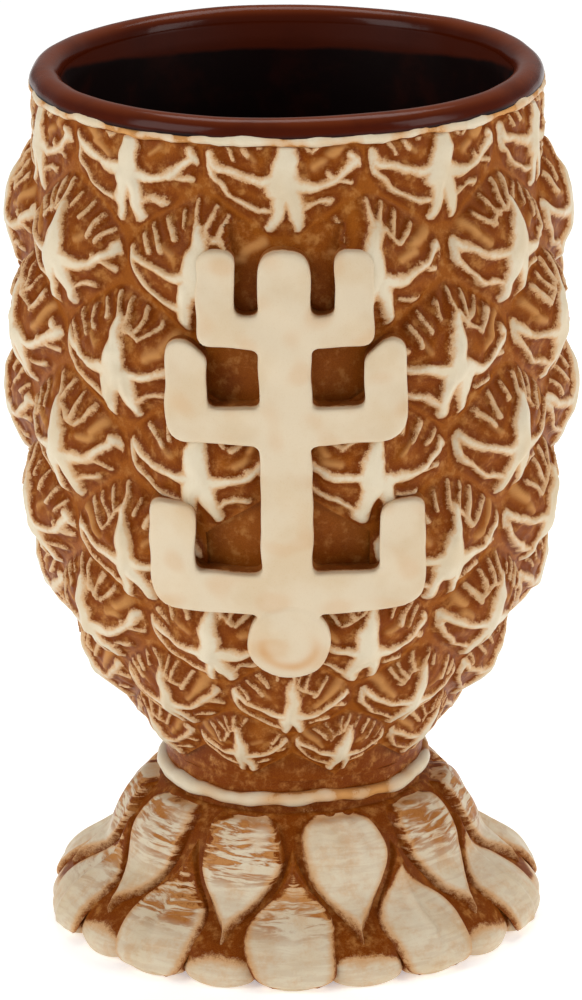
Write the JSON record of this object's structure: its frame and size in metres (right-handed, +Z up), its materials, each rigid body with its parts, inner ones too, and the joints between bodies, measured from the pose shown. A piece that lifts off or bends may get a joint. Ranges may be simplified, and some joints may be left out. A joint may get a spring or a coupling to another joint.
{
  "type": "pedestal tiki mug",
  "caption": "Ceramic pedestal mug with rows of raised scales, a three-tier totem in relief, a rolled glazed lip and a petalled foot.",
  "frame": {"origin": "on the table under the middle of the foot", "axes": "+Z up along the axis of the cup, the totem faces -Y, +X to the right of the totem as it is looked at"},
  "size_m": [0.0976, 0.0984, 0.15],
  "materials": {
    "stained_clay": "satin, brown stain left in the hollows",
    "scale_relief": "satin, cream clay with the stain wiped off the high parts",
    "petal_relief": "satin, cream clay with brushed stain",
    "cream_relief": "satin, cream clay wiped clean",
    "brown_glaze": "high gloss dark brown glaze"
  },
  "bodies": {
    "root": {"bowl": "stained_clay", "inner_glaze": "brown_glaze", "rim_ridge": "cream_relief", "scale_row_1": "scale_relief", "scale_row_2": "scale_relief", "scale_row_3": "scale_relief", "scale_row_4": "scale_relief", "scale_row_5": "scale_relief", "scale_row_6": "scale_relief", "scale_row_7": "scale_relief", "scale_row_8": "scale_relief", "totem_post": "cream_relief", "totem_top_tier": "cream_relief", "totem_middle_tier": "cream_relief", "totem_low_tier": "cream_relief", "totem_disc": "cream_relief", "neck": "stained_clay", "collar_bead": "cream_relief", "foot": "stained_clay", "long_petals": "petal_relief", "short_petals": "petal_relief"}
  },
  "joints": []
}
